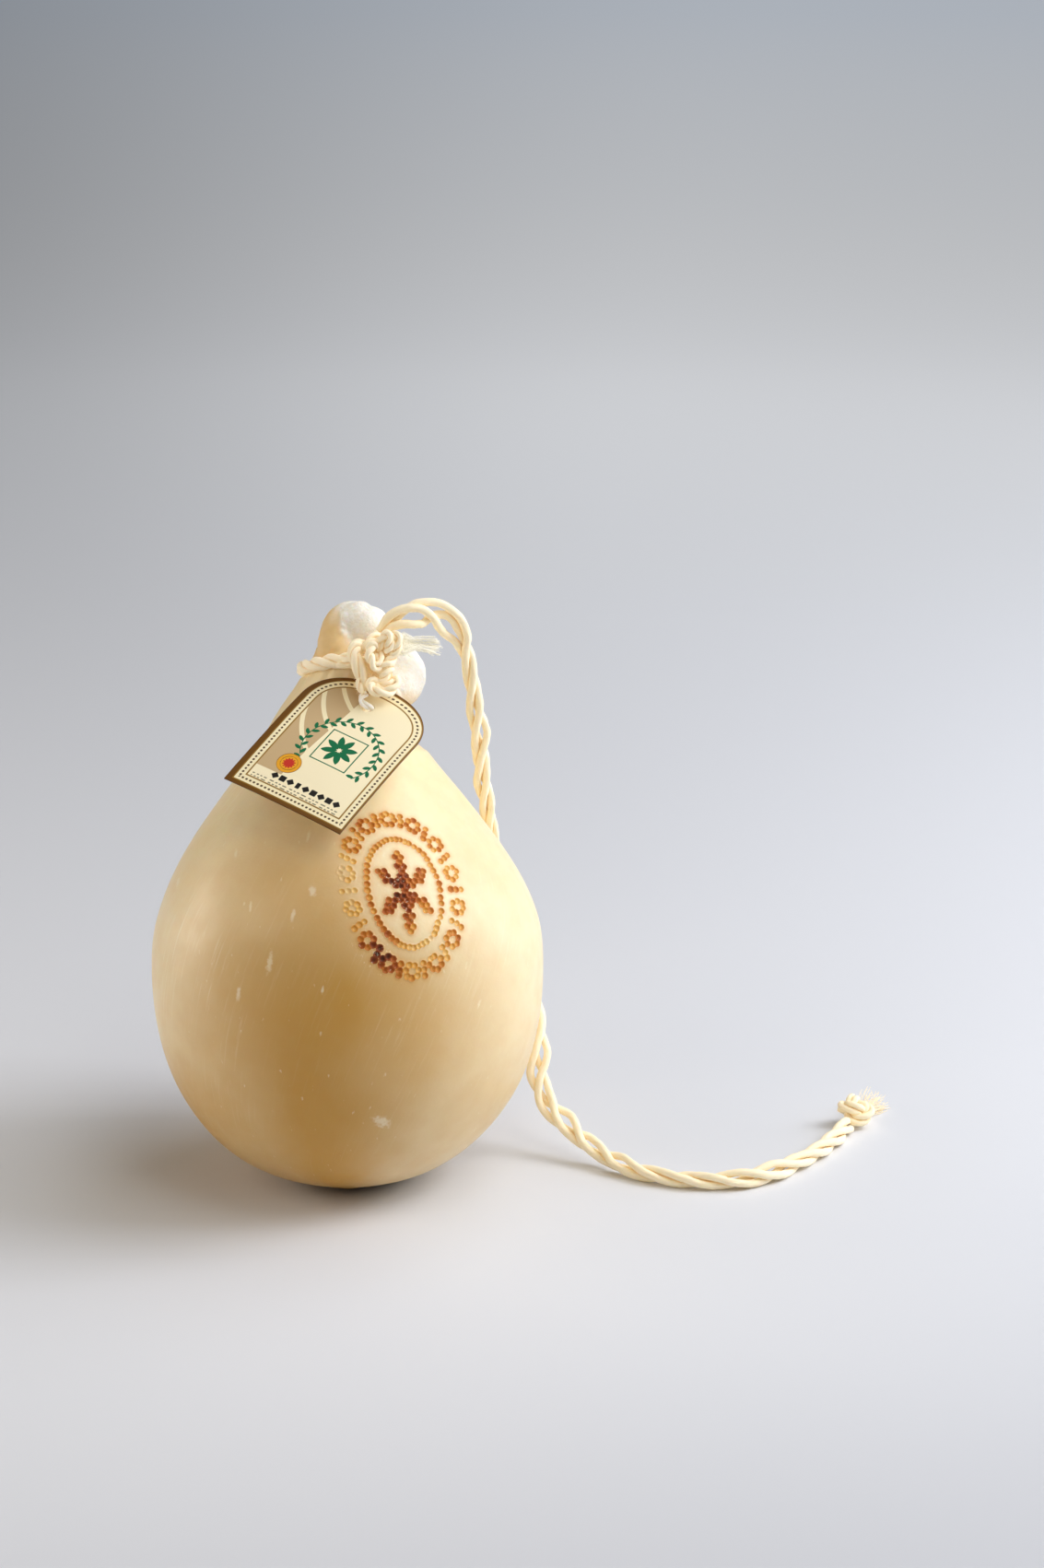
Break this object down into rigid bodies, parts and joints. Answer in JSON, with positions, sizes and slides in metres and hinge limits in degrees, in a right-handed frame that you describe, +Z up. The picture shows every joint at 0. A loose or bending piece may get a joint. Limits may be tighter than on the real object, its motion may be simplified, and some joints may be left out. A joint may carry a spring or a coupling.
{
  "type": "caciocavallo",
  "caption": "Whole pear-shaped stretched-curd cheese on its rounded foot, with a rolled head, a cord knotted round the neck, an arched card tag and a free twisted cord on the floor",
  "frame": {"origin": "middle of the small flat spot on which the leaning cheese rests", "axes": "+Z up, -Y the front with the tag, +X the side on which the free cord hangs down"},
  "size_m": [0.2775, 0.1475, 0.2156],
  "materials": {
    "rind": "satin, oiled",
    "cotton": "matte",
    "string": "matte",
    "card": "printed, semi-gloss"
  },
  "bodies": {
    "root": {"cheese": "rind", "neck_tie": "cotton", "tag": "card", "tag_string": "string", "cord": "cotton", "cord_end": "cotton"}
  },
  "joints": []
}
